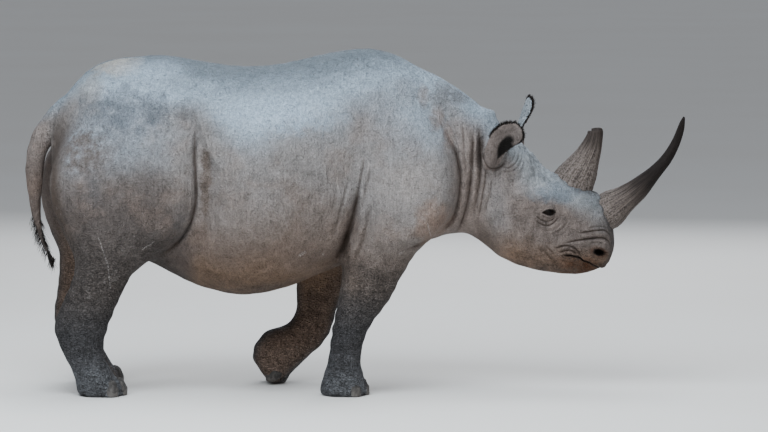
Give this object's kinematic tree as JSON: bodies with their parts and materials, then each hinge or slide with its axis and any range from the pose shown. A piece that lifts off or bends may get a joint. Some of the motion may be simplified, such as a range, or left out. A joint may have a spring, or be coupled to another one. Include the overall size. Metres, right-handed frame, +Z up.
{
  "type": "black rhinoceros, life-size still model",
  "caption": "Walking black rhinoceros with its head held low: barrel trunk, long curved front horn, shorter rear horn, cupped ears, one forefoot lifting onto its toes.",
  "frame": {"origin": "on the floor, under the middle of the bounding box", "axes": "+X towards the nose, +Y to the animal's left, +Z up"},
  "size_m": [3.0462, 0.85, 1.5765],
  "materials": {
    "hide": "thick grey hide, finely wrinkled and cracked, matt, dusty on top and brown-grey below",
    "leg_hide": "darker grey leg hide, fine cross wrinkles, matt",
    "horn": "dark brown-grey fibrous horn, rough at the base and worn smoother towards the tip",
    "nail": "dark worn toenail",
    "eye": "wet, dark brown"
  },
  "bodies": {
    "root": {"head": "hide", "neck": "hide", "trunk": "hide", "tail": "hide", "ear_right": "hide", "ear_left": "hide", "foreleg_right_upper": "hide", "foreleg_right_lower": "leg_hide", "foreleg_right_foot": "leg_hide", "foreleg_right_nail_middle": "nail", "foreleg_right_nail_inner": "nail", "foreleg_right_nail_outer": "nail", "foreleg_left_upper": "hide", "foreleg_left_lower": "leg_hide", "foreleg_left_foot": "leg_hide", "foreleg_left_nail_middle": "nail", "foreleg_left_nail_inner": "nail", "foreleg_left_nail_outer": "nail", "hindleg_right_upper": "hide", "hindleg_right_lower": "leg_hide", "hindleg_right_foot": "leg_hide", "hindleg_right_nail_middle": "nail", "hindleg_right_nail_inner": "nail", "hindleg_right_nail_outer": "nail", "hindleg_left_upper": "hide", "hindleg_left_lower": "leg_hide", "hindleg_left_foot": "leg_hide", "hindleg_left_nail_middle": "nail", "hindleg_left_nail_inner": "nail", "hindleg_left_nail_outer": "nail", "horn_front": "horn", "horn_rear": "horn", "eye_right": "eye", "eye_left": "eye"}
  },
  "joints": []
}
